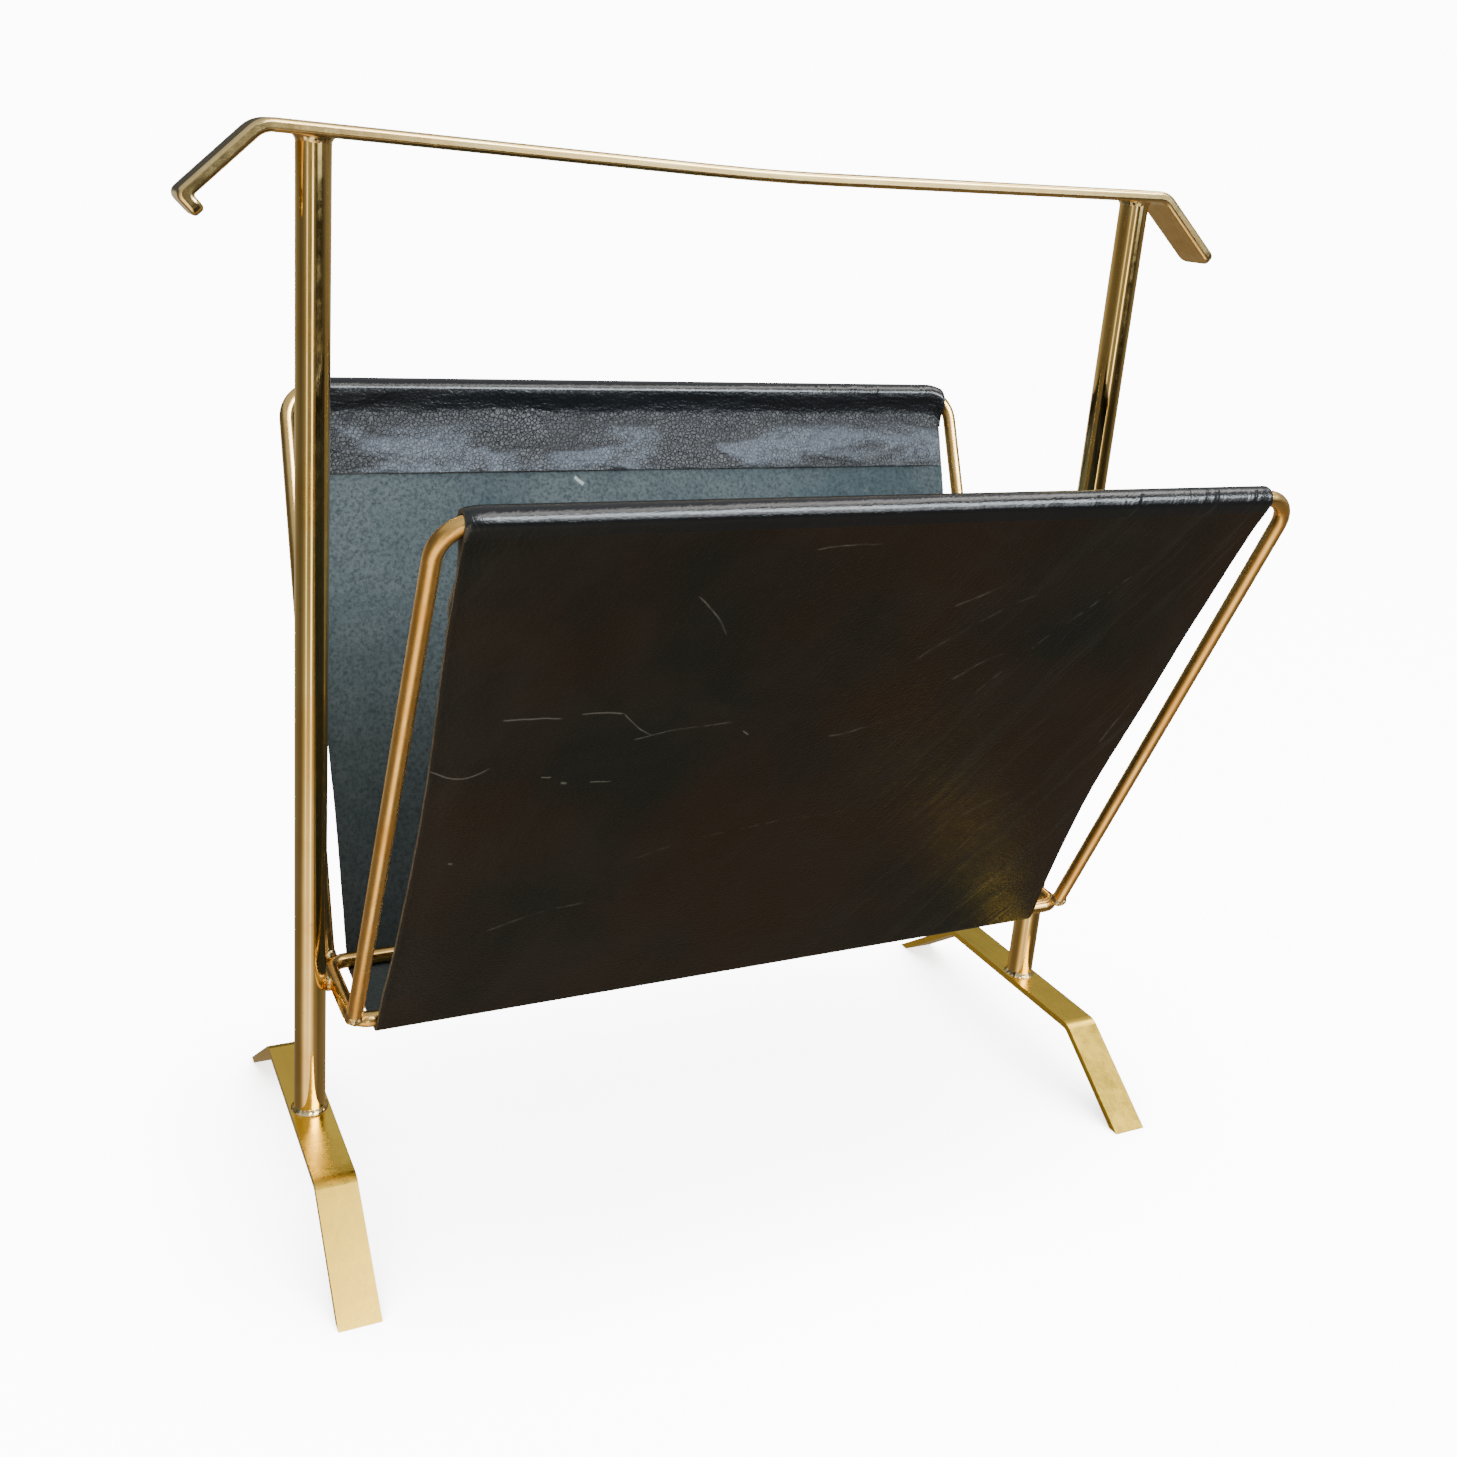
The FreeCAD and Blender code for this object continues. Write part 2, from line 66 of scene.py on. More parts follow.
class Shader:
    """A short way to write a node tree."""

    def __init__(self, name, world=False):
        if world:
            self.owner = bpy.data.worlds.new(name)
        else:
            self.owner = bpy.data.materials.new(name)
        self.owner.use_nodes = True
        self.tree = self.owner.node_tree
        self.tree.nodes.clear()

    def add(self, kind, settings=None, inputs=None, out=0):
        made = self.tree.nodes.new(kind)
        for key, value in (settings or {}).items():
            setattr(made, key, value)
        for key, value in (inputs or {}).items():
            self.feed(made.inputs[key], value)
        return made.outputs[out] if out is not None else made

    def feed(self, socket, value):
        """Links a socket to another, or sets its constant; a colour of three gets its alpha."""
        if isinstance(value, bpy.types.NodeSocket):
            self.tree.links.new(value, socket)
            return
        if isinstance(value, tuple) and len(value) == 3 and len(socket.default_value) == 4:
            value = (*value, 1.0)
        socket.default_value = value

    def math(self, operation, a, b=0.0):
        return self.add("ShaderNodeMath", {"operation": operation}, {0: a, 1: b})

    def scaled(self, value, factor):
        return self.math("MULTIPLY", value, factor)

    def vector_math(self, operation, a, b):
        return self.add("ShaderNodeVectorMath", {"operation": operation}, {0: a, 1: b})

    def object_place(self, scale=(1, 1, 1), turn=(0, 0, 0)):
        place = self.add("ShaderNodeTexCoord", out=3)
        return self.add("ShaderNodeMapping", {}, {"Vector": place, "Scale": scale, "Rotation": turn})

    def noise(self, place, scale, detail=4.0, roughness=0.55, distortion=0.0, out=0):
        return self.add("ShaderNodeTexNoise", {}, {"Vector": place, "Scale": scale, "Detail": detail,
                        "Roughness": roughness, "Distortion": distortion}, out)

    def voronoi(self, place, scale, feature="F1"):
        return self.add("ShaderNodeTexVoronoi", {"feature": feature}, {"Vector": place, "Scale": scale})

    def ramp(self, value, stops):
        """A straight run of colours, given as (position, colour) pairs."""
        made = self.tree.nodes.new("ShaderNodeValToRGB")
        ramp = made.color_ramp
        while len(ramp.elements) < len(stops):
            ramp.elements.new(0.5)
        for element, (position, colour) in zip(ramp.elements, stops):
            element.position = position
            element.color = (*colour, 1.0)
        self.feed(made.inputs[0], value)
        return made.outputs[0]

    def spread(self, value, low, high, to_low=0.0, to_high=1.0, smooth=False):
        """Maps low..high to to_low..to_high, held at both ends."""
        return self.add("ShaderNodeMapRange", {"interpolation_type": "SMOOTHSTEP" if smooth else "LINEAR"},
                        {"Value": value, "From Min": low, "From Max": high, "To Min": to_low,
                         "To Max": to_high})

    def mix(self, amount, a, b):
        made = self.tree.nodes.new("ShaderNodeMix")
        made.data_type = "RGBA"
        self.feed(made.inputs[0], amount)
        self.feed(made.inputs[6], a)
        self.feed(made.inputs[7], b)
        return made.outputs[2]

    def bump(self, height, distance, strength=1.0, normal=None):
        inputs = {"Height": height, "Distance": distance, "Strength": strength}
        if normal is not None:
            inputs["Normal"] = normal
        return self.add("ShaderNodeBump", {}, inputs)

    def principled(self, **inputs):
        """Ends the material; an underscore stands for a space in a socket's name."""
        made = self.tree.nodes.new("ShaderNodeBsdfPrincipled")
        for key, value in inputs.items():
            self.feed(made.inputs[key.replace("_", " ")], value)
        out = self.tree.nodes.new("ShaderNodeOutputMaterial")
        self.tree.links.new(made.outputs[0], out.inputs[0])
        return self.owner


# ---------------------------------------------------------------- brass

def brass(name, light, dark, tarnish, roughness, grain_scale, grain_depth, mottle=26.0, turn=(0, 0, 0)):
    """Aged brass: grain along the axis with the small scale, mottled tarnish, small dark pits."""
    s = Shader(name)
    place = s.object_place()
    along = s.object_place(grain_scale, turn)
    patches = s.noise(place, mottle, 5.0, 0.6, 0.6)
    fine = s.noise(place, 240.0, 3.0, 0.6)
    streaks = s.noise(along, 1.0, 5.0, 0.65)
    colour = s.mix(s.spread(patches, 0.36, 0.66, smooth=True), light, dark)
    colour = s.mix(s.spread(streaks, 0.42, 0.72, 0.0, 0.45), colour, tarnish)
    spots = s.voronoi(place, 190.0, "F1")
    spot_noise = s.noise(place, 55.0, 2.0, 0.5)
    pits = s.math("MULTIPLY", s.spread(spots, 0.0, 0.16, 1.0, 0.0), s.spread(spot_noise, 0.56, 0.64))
    colour = s.mix(s.scaled(pits, 0.45), colour, (0.16, 0.09, 0.03))
    rough = s.math("ADD", s.spread(patches, 0.3, 0.7, roughness - 0.05, roughness + 0.09),
                   s.spread(fine, 0.3, 0.7, -0.03, 0.05))
    rough = s.math("ADD", rough, s.scaled(pits, 0.25))
    height = s.math("ADD", streaks, s.scaled(fine, 0.6))
    height = s.math("SUBTRACT", height, s.scaled(pits, 0.35))
    normal = s.bump(height, grain_depth)
    return s.principled(Base_Color=colour, Metallic=1.0, Roughness=rough, Normal=normal)


def braze_metal(name):
    """Brighter, beaded filler metal."""
    s = Shader(name)
    place = s.object_place()
    beads = s.voronoi(place, 520.0, "SMOOTH_F1")
    patches = s.noise(place, 160.0, 4.0, 0.6)
    colour = s.mix(s.spread(patches, 0.35, 0.65), (0.94, 0.76, 0.38), (0.62, 0.36, 0.12))
    rough = s.spread(patches, 0.3, 0.7, 0.12, 0.32)
    normal = s.bump(s.math("ADD", beads, s.scaled(patches, 0.5)), 0.5 * MM, 0.8)
    return s.principled(Base_Color=colour, Metallic=1.0, Roughness=rough, Normal=normal)


# light, dark and tarnished colours, roughness, grain scale and depth, then mottle scale and turn
BRASS = {
    "post": brass("brass_post", (0.88, 0.64, 0.25), (0.78, 0.52, 0.17), (0.56, 0.36, 0.13), 0.085,
                  (420, 420, 9), 0.007 * MM),
    "strip_x": brass("brass_handle", (0.90, 0.68, 0.30), (0.78, 0.52, 0.20), (0.54, 0.36, 0.14), 0.17,
                     (9, 420, 420), 0.02 * MM),
    "strip_y": brass("brass_foot", (0.94, 0.63, 0.075), (0.87, 0.56, 0.07), (0.70, 0.45, 0.08), 0.24,
                     (420, 9, 420), 0.02 * MM),
    "rod_x": brass("brass_ring", (0.86, 0.56, 0.18), (0.70, 0.40, 0.11), (0.48, 0.29, 0.10), 0.20,
                   (9, 420, 420), 0.02 * MM),
    "rod_front": brass("brass_front_frame", (0.95, 0.60, 0.20), (0.86, 0.48, 0.13), (0.66, 0.36, 0.10), 0.25,
                       (260, 260, 14), 0.012 * MM, 48.0, (FRONT_LEAN, 0, 0)),
    "rod_back": brass("brass_back_frame", (0.92, 0.62, 0.22), (0.80, 0.48, 0.14), (0.56, 0.35, 0.12), 0.20,
                      (260, 260, 14), 0.012 * MM, 40.0, (-BACK_LEAN, 0, 0)),
}
BRAZE = braze_metal("braze_beads")


def give(node, material):
    """Puts a material on every slot of a node that keeps its CAD shape."""
    mesh = NODES[node].data
    mesh.materials.clear()
    mesh.materials.append(material)


for end in ("left", "right"):
    give(end + "_post", BRASS["post"])
    give(end + "_foot", BRASS["strip_y"])
give("handle_strip", BRASS["strip_x"])
give("bottom_ring", BRASS["rod_x"])
give("front_frame", BRASS["rod_front"])
give("back_frame", BRASS["rod_back"])


# ---------------------------------------------------------------- leather

def line_mask(s, u, v, start, end, width, sag, gaps):
    """1 along a thin scratch in the sheet's own flat coordinates, in millimetres; 0 elsewhere."""
    (u0, v0), (u1, v1) = start, end
    length = math.hypot(u1 - u0, v1 - v0)
    cu, cv = (u1 - u0) / length, (v1 - v0) / length
    du = s.math("SUBTRACT", u, u0)
    dv = s.math("SUBTRACT", v, v0)
    along = s.math("ADD", s.math("MULTIPLY", du, cu), s.math("MULTIPLY", dv, cv))
    across = s.math("SUBTRACT", s.math("MULTIPLY", du, cv), s.math("MULTIPLY", dv, cu))
    t = s.math("DIVIDE", along, length)
    if sag:
        curve = s.math("MULTIPLY", s.math("MULTIPLY", t, s.math("SUBTRACT", 1.0, t)), 4.0 * sag)
        across = s.math("SUBTRACT", across, curve)
    body = s.spread(s.math("ABSOLUTE", across), width * 0.35, width, 1.0, 0.0)
    ends = s.math("MULTIPLY", s.spread(t, -0.01, 0.05, 0.0, 1.0), s.spread(t, 0.9, 1.0, 1.0, 0.0))
    broken = s.add("ShaderNodeTexNoise", {"noise_dimensions": "1D"},
                   {"W": s.scaled(along, 0.14), "Scale": 1.0, "Detail": 2.0})
    kept = s.spread(broken, gaps - 0.2, gaps + 0.2)
    return s.math("MULTIPLY", s.math("MULTIPLY", body, ends), kept)


def sheet_coordinates(s):
    """The sheet's own flat coordinates in millimetres, with a little wobble for hand-made lines."""
    uv = s.add("ShaderNodeUVMap", {"uv_map": "sheet"})
    wobble = s.noise(uv, 26.0, 3.0, 0.6, out=1)
    offset = s.vector_math("SCALE", s.vector_math("SUBTRACT", wobble, (0.5, 0.5, 0.5)), (0, 0, 0))
    offset.node.inputs["Scale"].default_value = 0.006
    moved = s.vector_math("ADD", uv, offset)
    split = s.add("ShaderNodeSeparateXYZ", {}, {0: moved}, None)
    return s.scaled(split.outputs[0], 1 / MM), s.scaled(split.outputs[1], 1 / MM), uv


# (start x, distance below the front rod), (end x, distance below), width, sag, gaps
SCRATCHES = [
    ((-131.7, 72.4), (-111.5, 74.2), 0.42, 0.5, 0.30),
    ((-105.0, 73.6), (-90.0, 75.4), 0.36, 0.4, 0.30),
    ((-90.0, 75.4), (-76.0, 87.0), 0.30, -1.0, 0.48),
    ((-84.0, 87.5), (-46.0, 84.0), 0.30, 0.8, 0.52),
    ((-152.5, 94.6), (-133.0, 94.2), 0.42, -3.6, 0.30),
    ((-76.2, 25.8), (-60.8, 43.5), 0.34, 0.8, 0.50),
    ((-70.0, 150.0), (20.0, 140.0), 0.26, 5.0, 0.66),
    ((18.0, 62.0), (60.0, 34.0), 0.34, 3.0, 0.60),
    ((52.0, 82.0), (104.0, 22.0), 0.40, 2.0, 0.66),
    ((-40.0, 8.3), (-14.0, 7.0), 0.30, 0.6, 0.56),
    ((-114.0, 101.5), (-110.5, 102.0), 0.45, 0.0, 0.30),
    ((-106.8, 105.5), (-104.6, 106.2), 0.7, 0.0, 0.30),
    ((-96.0, 106.0), (-88.0, 107.0), 0.30, 0.0, 0.42),
    ((-42.0, 89.0), (-39.5, 91.5), 0.40, 0.0, 0.30),
    ((-139.6, 139.0), (-138.2, 139.6), 0.7, 0.0, 0.30),
    ((38.0, 73.0), (58.0, 62.0), 0.50, 0.8, 0.60),
    ((24.0, 37.0), (42.0, 29.0), 0.45, 0.5, 0.60),
    ((128.0, 116.0), (134.0, 92.0), 0.45, 0.5, 0.58),
    ((75.0, 152.0), (98.0, 139.0), 0.50, 1.0, 0.60),
    ((-6.0, 95.0), (22.0, 88.0), 0.40, -1.0, 0.60),
    ((-120.0, 180.0), (-80.0, 171.0), 0.40, 2.0, 0.62),
]


def scratches(s, u, v, top):
    """All the fine scratches of the front panel; top is where the panel starts."""
    marks = None
    for (x0, below0), (x1, below1), width, sag, gaps in SCRATCHES:
        mark = line_mask(s, u, v, (x0, top + below0), (x1, top + below1), width, sag, gaps)
        marks = mark if marks is None else s.math("MAXIMUM", marks, mark)
    return marks


def rubbed_streaks(s, u, v):
    """Soft slanting streaks, stronger towards the right."""
    slant = s.math("ADD", s.scaled(u, 0.86), s.scaled(v, 0.5))
    cross = s.math("SUBTRACT", s.scaled(v, 0.86), s.scaled(u, 0.5))
    place = s.add("ShaderNodeCombineXYZ", {}, {0: s.scaled(slant, 0.09), 1: s.scaled(cross, 0.012)})
    rubbed = s.spread(s.noise(place, 1.0, 3.0, 0.6), 0.50, 0.76)
    return s.math("MULTIPLY", rubbed, s.spread(u, 0.0, 120.0, 0.15, 1.0))


def pressed_ring(s, u, v, middle, radius):
    """A shallow round dent in the sheet, a millimetre wide."""
    ru = s.math("SUBTRACT", u, middle[0])
    rv = s.math("SUBTRACT", v, middle[1])
    away = s.math("SQRT", s.math("ADD", s.math("MULTIPLY", ru, ru), s.math("MULTIPLY", rv, rv)))
    return s.spread(s.math("ABSOLUTE", s.math("SUBTRACT", away, radius)), 0.2, 1.0, 1.0, 0.0, True)


def painted_hem_sheen(s, v, place, folds, path):
    """Painted pale sheen on the folds of the hems, a reflection of the bright sky, fading out in painted
    shade under the rods.
    """
    painted_sheen = s.math("MULTIPLY", s.spread(folds, 0.43, 0.62, smooth=True),
                   s.spread(s.noise(place, 420.0, 4.0, 0.75), 0.30, 0.70, 0.30, 1.0))
    fade = 9.0
    front_top, back_top = path["front_hem"][1], path["back_hem"][0]
    front_fade = s.spread(v, front_top - fade, front_top, 0.0, 1.0, True)
    back_fade = s.spread(v, back_top, back_top + fade, 1.0, 0.0, True)
    between = 100.0
    at_front = s.spread(v, between, between + 1.0, 1.0, 0.0)
    at_back = s.spread(v, between, between + 1.0)
    shaded = s.math("MAXIMUM", s.math("MULTIPLY", front_fade, at_front),
                    s.math("MULTIPLY", back_fade, at_back))
    return s.math("MULTIPLY", painted_sheen, s.math("SUBTRACT", 1.0, shaded))


# lowest and highest roughness, and specular level, of the three finishes
FINISHES = {"panel": (0.34, 0.48, 0.18), "sleeve": (0.14, 0.22, 0.50), "hem": (0.32, 0.44, 0.32)}


def grain_leather(name, path, kind="panel"):
    """The finished side: satin black-brown panels, polished sleeves darkened by painted shade, rumpled
    blue-black hems with a painted pale sheen.
    """
    s = Shader(name)
    u, v, uv = sheet_coordinates(s)
    place = s.object_place()
    cells = s.voronoi(place, 820.0, "SMOOTH_F1")
    creases = s.voronoi(place, 560.0, "DISTANCE_TO_EDGE")
    pores = s.noise(place, 2600.0, 2.0, 0.6)
    cloud = s.noise(place, 24.0, 4.0, 0.6, 0.8)
    tone = s.noise(place, 9.0, 3.0, 0.55)
    soft = s.noise(uv, 11.0, 3.0, 0.5, 1.4)
    colour = s.mix(s.spread(tone, 0.38, 0.62, smooth=True), (0.0128, 0.0076, 0.0048),
                   (0.0062, 0.0070, 0.0056))
    colour = s.mix(s.spread(cloud, 0.45, 0.72, 0.0, 0.6), colour, (0.0125, 0.0095, 0.0070))
    marks = scratches(s, u, v, path["front_panel"][0])
    rubbed = rubbed_streaks(s, u, v)
    colour = s.mix(s.scaled(rubbed, 0.6), colour, (0.019, 0.018, 0.015))
    colour = s.mix(s.scaled(marks, 0.45), colour, (0.15, 0.14, 0.12))
    if kind == "sleeve":
        # painted shade: the sleeves' colour is darker and cooler than the panel's
        colour = s.mix(0.85, colour, (0.0050, 0.0060, 0.0072))
    elif kind == "hem":
        folds = s.noise(s.object_place((22, 22, 80), (0.0, 0.85, 0.0)), 1.0, 3.0, 0.6, 0.4)
        painted_sheen = painted_hem_sheen(s, v, place, folds, path)
        # the hems' colour: blue-black with a painted pale bluish sheen on the folds, a painted reflection of
        # the sky
        colour = s.mix(painted_sheen, (0.0080, 0.0095, 0.0120), (0.1050, 0.1240, 0.1550))
    low_rough, high_rough, specular = FINISHES[kind]
    rough = s.spread(cloud, 0.35, 0.7, low_rough, high_rough)
    rough = s.math("ADD", rough, s.scaled(marks, 0.2))
    rough = s.math("SUBTRACT", rough, s.scaled(rubbed, 0.07))
    grain = s.math("ADD", s.scaled(cells, 0.9), s.scaled(pores, 0.25))
    grain = s.math("ADD", grain, s.spread(creases, 0.0, 0.12, 0.0, 0.5))
    grain = s.math("SUBTRACT", grain, s.scaled(marks, 0.6))
    swell = s.math("ADD", soft, s.scaled(cloud, 0.35))
    swell = s.math("ADD", swell, s.scaled(rubbed, 0.35))
    if kind == "hem":
        # the cemented hems are rumpled and pebbled more strongly than the stretched panels,
        # and the back one has a ring pressed into it near its right end
        swell = s.math("ADD", swell, s.scaled(folds, 2.0))
        ring = pressed_ring(s, u, v, (144.5, path["back_hem"][1] - 6.6), 3.6)
        grain = s.math("SUBTRACT", grain, s.scaled(ring, 1.6))
        grain = s.scaled(grain, 2.4)
    elif kind == "sleeve":
        grain = s.scaled(grain, 0.45)
    swell = s.bump(swell, 2.2 * MM, 0.6)
    normal = s.bump(grain, 0.12 * MM, 0.75, swell)
    return s.principled(Base_Color=colour, Roughness=rough, Normal=normal, Specular_IOR_Level=specular)


def flesh_leather(name, path):
    """The inner side: blue-grey suede with a fine nap, darkened down in the bottom of the sling by painted
    shade.
    """
    s = Shader(name)
    u, v, _ = sheet_coordinates(s)
    place = s.object_place()
    nap = s.noise(place, 620.0, 4.0, 0.75)
    fibres = s.noise(s.object_place((900, 900, 260)), 1.0, 3.0, 0.7, 0.5)
    patches = s.noise(place, 16.0, 4.0, 0.62, 0.5)
    fine_patches = s.noise(place, 85.0, 4.0, 0.65)
    colour = s.mix(s.spread(patches, 0.34, 0.68, smooth=True), (0.046, 0.070, 0.078),
                   (0.086, 0.106, 0.112))
    colour = s.mix(s.spread(fine_patches, 0.4, 0.7, 0.0, 0.4), colour, (0.100, 0.118, 0.124))
    colour = s.mix(s.spread(nap, 0.44, 0.64, 0.0, 0.85), colour, (0.024, 0.034, 0.038))
    tips = s.noise(place, 330.0, 3.0, 0.7)
    colour = s.mix(s.spread(tips, 0.54, 0.74, 0.0, 0.42), colour, (0.125, 0.146, 0.150))
    # painted shade: the suede gets darker towards the bottom of the sling
    middle = (path["front_panel"][1] + path["back_panel"][0]) / 2
    depth = s.math("ABSOLUTE", s.math("SUBTRACT", v, middle))
    colour = s.mix(s.spread(depth, 30.0, 215.0, 0.62, 0.0), colour, (0.020, 0.026, 0.024))
    # a pale fleck just under the edge of the back hem
    fleck_at = path["back_panel"][1] - 37.8
    fleck = line_mask(s, u, v, (-38.0, fleck_at + 2.0), (-33.5, fleck_at - 1.6), 0.9, 0.3, 0.30)
    colour = s.mix(s.scaled(fleck, 0.9), colour, (0.42, 0.46, 0.45))
    height = s.math("ADD", nap, s.scaled(fibres, 0.8))
    normal = s.bump(height, 0.22 * MM, 0.8)
    return s.principled(Base_Color=colour, Roughness=0.92, Normal=normal, Specular_IOR_Level=0.18,
                        Sheen_Weight=0.25, Sheen_Roughness=0.5, Sheen_Tint=(0.75, 0.86, 0.95))


def cut_edge(name):
    """The raw cut edge: paler, fibrous core with a darker burnish."""
    s = Shader(name)
    place = s.object_place()
    fibres = s.noise(place, 900.0, 4.0, 0.7)
    patches = s.noise(place, 40.0, 3.0, 0.6)
    colour = s.mix(s.spread(fibres, 0.3, 0.7), (0.26, 0.23, 0.19), (0.11, 0.095, 0.08))
    colour = s.mix(s.spread(patches, 0.45, 0.7, 0.0, 0.7), colour, (0.05, 0.045, 0.04))
    normal = s.bump(fibres, 0.15 * MM, 0.8)
    return s.principled(Base_Color=colour, Roughness=0.85, Normal=normal, Specular_IOR_Level=0.2)


# the sheet's path, in metres: half the shown thickness, a little under the true one; how far a
# hem's middle lies inside the rods' plane; where the hem starts to turn up round its rod
LEATHER_HALF = 0.75 * MM
HEM_MIDDLE = 2.1 * MM
FOLD_BELOW = 10.2 * MM
TURN_START = math.radians(-36)
# rows of points along each part of the path, and points across the sheet
HEM_ROWS, TUCK_ROWS, TURN_STEPS, PANEL_ROWS, BEND_ROWS, FLOOR_STEPS = 13, 6, 24, 84, 10, 14
COLUMNS = 150


def slant_place(side, lean, along, outwards):
    """(y, z) of a point along a leaning frame and outwards from its plane."""
    y = side * (RING_Y + along * math.sin(lean) + outwards * math.cos(lean))
    z = RING_Z + along * math.cos(lean) - outwards * math.sin(lean)
    return y, z


def half_path(side, lean):
    """Points from a hem's free edge over its rod and down to the bottom: y, z, zone."""
    rows = []
    hem_low = SLANT - HEM_DEPTH
    fold = SLANT - FOLD_BELOW
    for k in range(HEM_ROWS):
        along = hem_low + (fold - hem_low) * k / HEM_ROWS
        rows.append((*slant_place(side, lean, along, HEM_MIDDLE), "hem"))
    turn_along = SLANT + ROD_TO_MIDDLE * math.sin(TURN_START)
    turn_out = -ROD_TO_MIDDLE * math.cos(TURN_START)
    for k in range(TUCK_ROWS):
        t = k / TUCK_ROWS
        bend = HEM_MIDDLE + (turn_out - HEM_MIDDLE) * (t * t * (1.6 - 0.6 * t))
        rows.append((*slant_place(side, lean, fold + (turn_along - fold) * t, bend), "tuck"))
    for k in range(TURN_STEPS + 1):
        a = TURN_START + (math.pi - TURN_START) * k / TURN_STEPS
        place = slant_place(side, lean, SLANT + ROD_TO_MIDDLE * math.sin(a), -ROD_TO_MIDDLE * math.cos(a))
        rows.append((*place, "sleeve" if k > 3 else "tuck"))
    for k in range(1, PANEL_ROWS + 1):
        rows.append((*slant_place(side, lean, SLANT * (1 - k / PANEL_ROWS), ROD_TO_MIDDLE), "panel"))
    for k in range(1, BEND_ROWS + 1):
        a = lean + (math.pi / 2 - lean) * k / BEND_ROWS
        rows.append((side * (RING_Y + ROD_TO_MIDDLE * math.cos(a)), RING_Z - ROD_TO_MIDDLE * math.sin(a),
                     "bottom"))
    return rows


def smooth_profile(points):
    """A function through (height, value) pairs, rounded between them."""
    heights = np.array([p[0] for p in points]) * MM
    values = np.array([p[1] for p in points]) * MM
    fine = np.linspace(heights[0], heights[-1], 400)
    line = np.interp(fine, heights, values)
    for _ in range(3):
        padded = np.concatenate([np.full(15, line[0]), line, np.full(15, line[-1])])
        line = np.convolve(padded, np.ones(31) / 31, "valid")
    return lambda height: float(np.interp(height, fine, line))


# material slots of the sheet: panel, inner side and cut edge, then the finish of the other zones
PANEL_SLOT, INNER_SLOT, EDGE_SLOT = 0, 1, 2
SLOTS = {"sleeve": 3, "tuck": 4, "hem": 4}

# where the sheet's two side edges run, by height along the slope, in millimetres
EDGES = {
    (-1, "left"): smooth_profile([(0, -154.6), (35, -152.6), (90, -151.7), (135, -152.4), (190, -154.7),
                                  (240, -155.2)]),
    (-1, "right"): smooth_profile([(0, 145.5), (40, 141.0), (85, 138.2), (130, 140.2), (190, 143.2),
                                   (215, 145.0), (240, 148.0)]),
    (1, "left"): smooth_profile([(0, -153.8), (60, -154.0), (110, -155.4), (170, -155.6), (240, -154.0)]),
    (1, "right"): smooth_profile([(0, 148.0), (60, 147.6), (120, 150.4), (185, 155.4), (240, 158.0)]),
}


def whole_path():
    """Every row of the sheet from hem to hem: y, z, zone and side (-1 front, 0 floor, 1 back)."""
    front = half_path(-1, FRONT_LEAN)
    back = half_path(1, BACK_LEAN)[::-1]
    sag = 0.35 * MM
    floor = []
    for k in range(1, FLOOR_STEPS):
        t = k / FLOOR_STEPS
        y = front[-1][0] + (back[0][0] - front[-1][0]) * t
        floor.append((y, RING_Z - ROD_TO_MIDDLE - sag * math.sin(math.pi * t), "floor"))
    return [(*row, -1) for row in front] + [(*row, 0) for row in floor] + [(*row, 1) for row in back]


def path_normals(yz):
    """Unit normals of the path, on the finished side: away from the rods."""
    tangent = np.gradient(yz, axis=0)
    tangent /= np.linalg.norm(tangent, axis=1)[:, None]
    normal = np.stack([-tangent[:, 1], tangent[:, 0]], 1)
    top_row = HEM_ROWS + TUCK_ROWS + TURN_STEPS // 2
    rod = np.array(slant_place(-1, FRONT_LEAN, SLANT, 0.0))
    return -normal if np.dot(normal[top_row], yz[top_row] - rod) < 0 else normal


def row_sides(side, zone, height, across_floor):
    """The x of a row's left and right ends; the hems' ends are cut a little wavy."""
    if side:
        left, right = [EDGES[side, end](height) for end in ("left", "right")]
    else:
        left, right = [EDGES[-1, end](0) * (1 - across_floor) + EDGES[1, end](0) * across_floor
                       for end in ("left", "right")]
    if zone == "hem":
        left += 0.5 * MM * math.sin(height * 300)
        right -= (0.8 + 0.4 * math.sin(height * 260)) * MM
    return left, right


